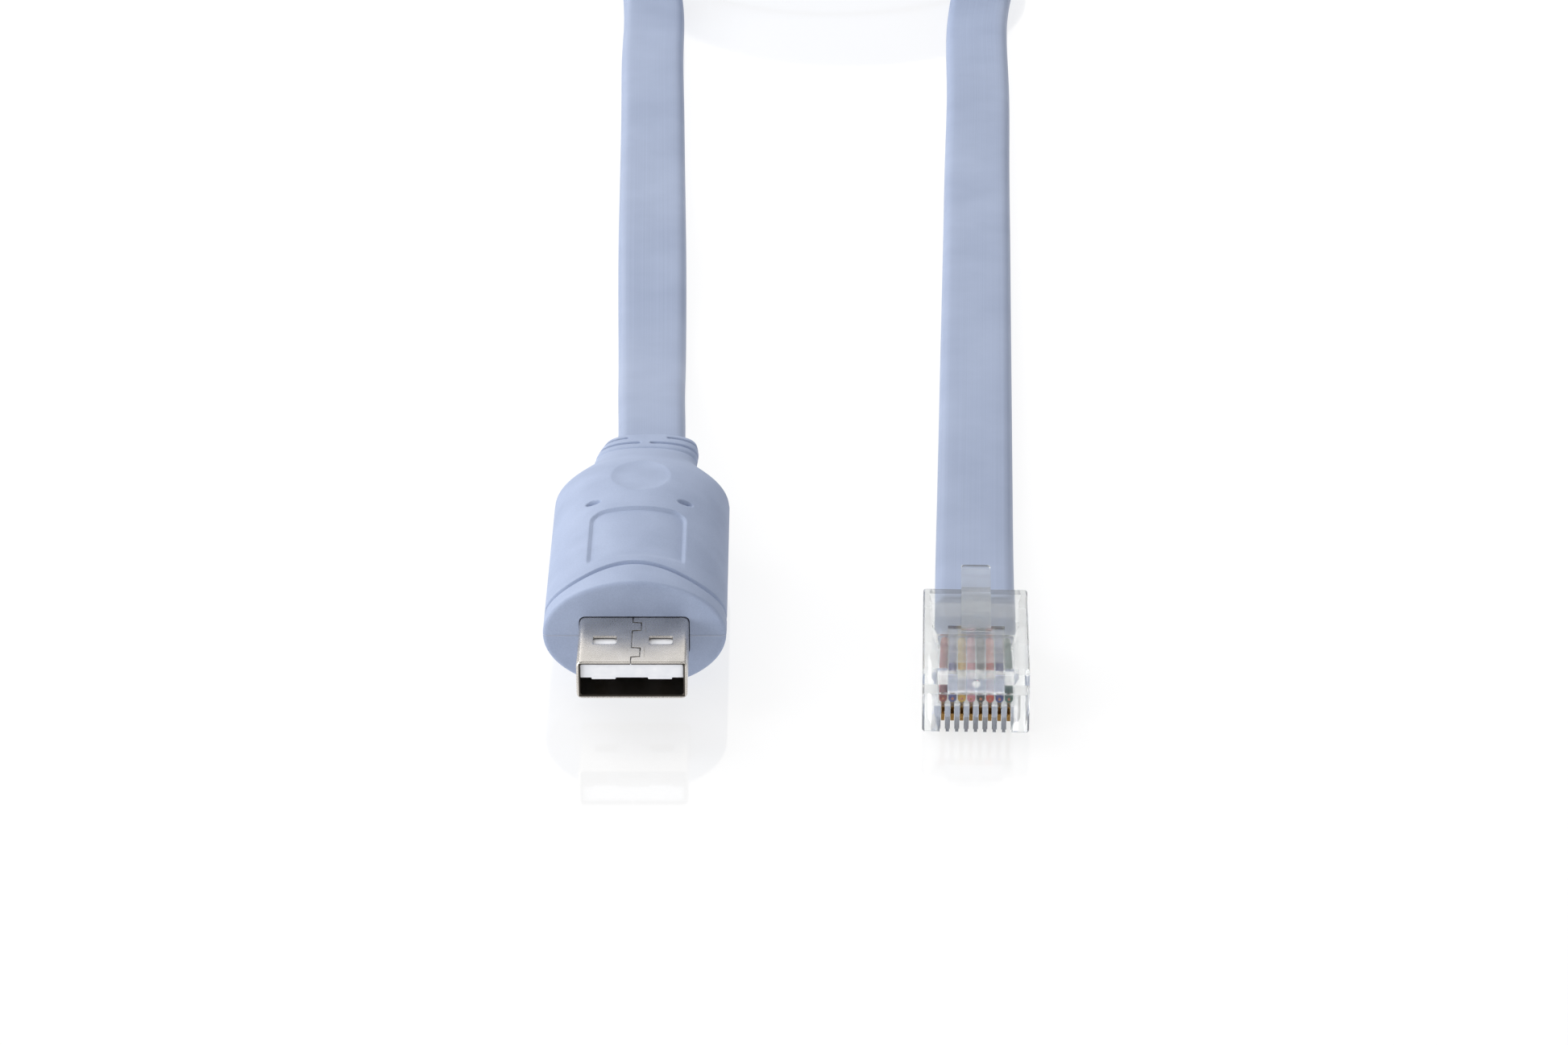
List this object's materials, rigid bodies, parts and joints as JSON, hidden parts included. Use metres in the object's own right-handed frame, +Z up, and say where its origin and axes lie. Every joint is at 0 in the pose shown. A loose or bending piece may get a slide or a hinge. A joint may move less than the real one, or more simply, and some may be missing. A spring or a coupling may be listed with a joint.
{
  "type": "console cable",
  "caption": "Flat pale blue cable with a USB type A plug at one end and a clear modular plug at the other, its slack folded into a tied hank.",
  "frame": {"origin": "on the floor, at the middle of the two plugs' footprint, without the cable", "axes": "+Z up, both plugs point to -Y, USB plug at -X, modular plug at +X, cable runs off to +Y"},
  "size_m": [0.0689, 0.4052, 0.0205],
  "materials": {
    "soft_plastic": "fine moulded grain, pale blue",
    "jacket": "smooth satin, pale blue",
    "nickel": "nickel plate, slightly dull",
    "white_plastic": "smooth",
    "gold": "gold plate",
    "clear_plastic": "clear, polished",
    "tie_fabric": "woven hook-and-loop band",
    "wire_brown_red": "smooth insulation",
    "wire_violet": "smooth insulation",
    "wire_yellow": "smooth insulation",
    "wire_pink": "smooth insulation",
    "wire_black": "smooth insulation",
    "wire_orange_red": "smooth insulation",
    "wire_blue": "smooth insulation",
    "wire_green": "smooth insulation"
  },
  "bodies": {
    "root": {"usb_overmould": "soft_plastic", "usb_shell": "nickel", "usb_tongue": "white_plastic", "usb_contact_1": "gold", "usb_contact_2": "gold", "usb_contact_3": "gold", "usb_contact_4": "gold", "rj45_body": "clear_plastic", "rj45_contact_1": "gold", "conductor_1": "wire_brown_red", "rj45_contact_2": "gold", "conductor_2": "wire_violet", "rj45_contact_3": "gold", "conductor_3": "wire_yellow", "rj45_contact_4": "gold", "conductor_4": "wire_pink", "rj45_contact_5": "gold", "conductor_5": "wire_black", "rj45_contact_6": "gold", "conductor_6": "wire_orange_red", "rj45_contact_7": "gold", "conductor_7": "wire_blue", "rj45_contact_8": "gold", "conductor_8": "wire_green", "cable_usb_lead": "jacket", "cable_rj45_lead": "jacket", "cable_hank": "jacket", "cable_tie_left": "tie_fabric", "cable_tie_right": "tie_fabric"}
  },
  "joints": []
}
